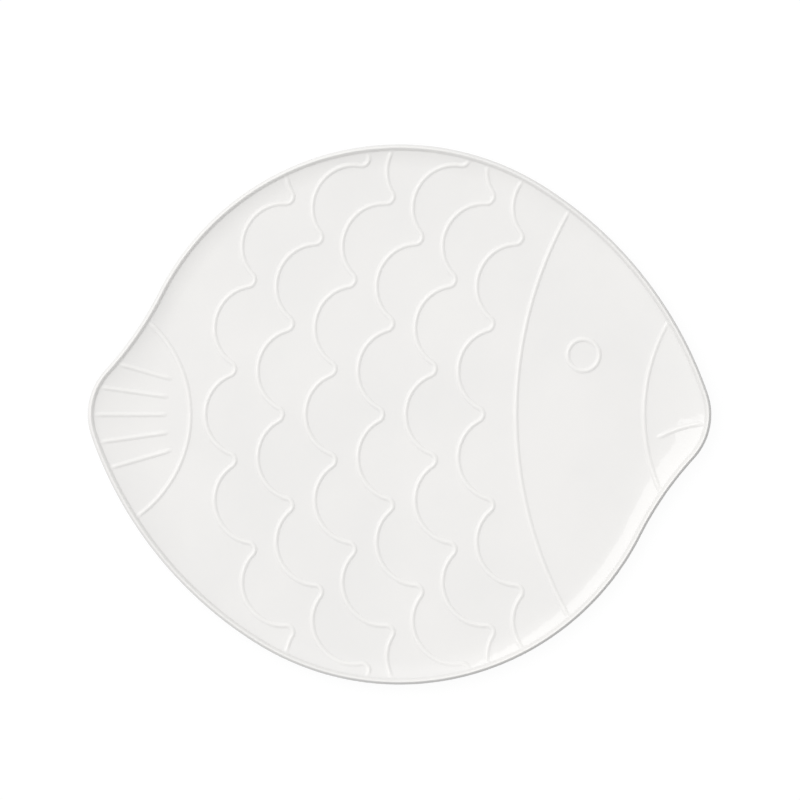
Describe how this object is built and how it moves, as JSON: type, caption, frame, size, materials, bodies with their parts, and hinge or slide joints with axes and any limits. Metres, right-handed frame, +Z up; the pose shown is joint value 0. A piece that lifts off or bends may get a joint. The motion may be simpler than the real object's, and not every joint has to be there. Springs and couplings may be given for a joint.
{
  "type": "serving platter",
  "caption": "Round shallow serving platter with pointed ears, a rounded lip, a turned foot ring and a fish drawn on its floor in raised lines.",
  "frame": {"origin": "centre of the foot ring's resting face, on the table", "axes": "+X along the ears to the fish's mouth, +Y to the fish's back, +Z up"},
  "size_m": [0.36, 0.312, 0.0172],
  "materials": {
    "white_glaze": "gloss white glaze over stoneware",
    "bare_clay": "matte unglazed stoneware"
  },
  "bodies": {
    "root": {"dish_body": "white_glaze", "foot_ring": "bare_clay", "gill_line": "white_glaze", "snout_line": "white_glaze", "mouth_line": "white_glaze", "eye_ring": "white_glaze", "tail_line": "white_glaze", "scale_row_1": "white_glaze", "scale_row_2": "white_glaze", "scale_row_3": "white_glaze", "scale_row_4": "white_glaze", "scale_row_5": "white_glaze", "scale_row_6": "white_glaze", "tail_ray_1": "white_glaze", "tail_ray_2": "white_glaze", "tail_ray_3": "white_glaze", "tail_ray_4": "white_glaze", "tail_ray_5": "white_glaze"}
  },
  "joints": []
}
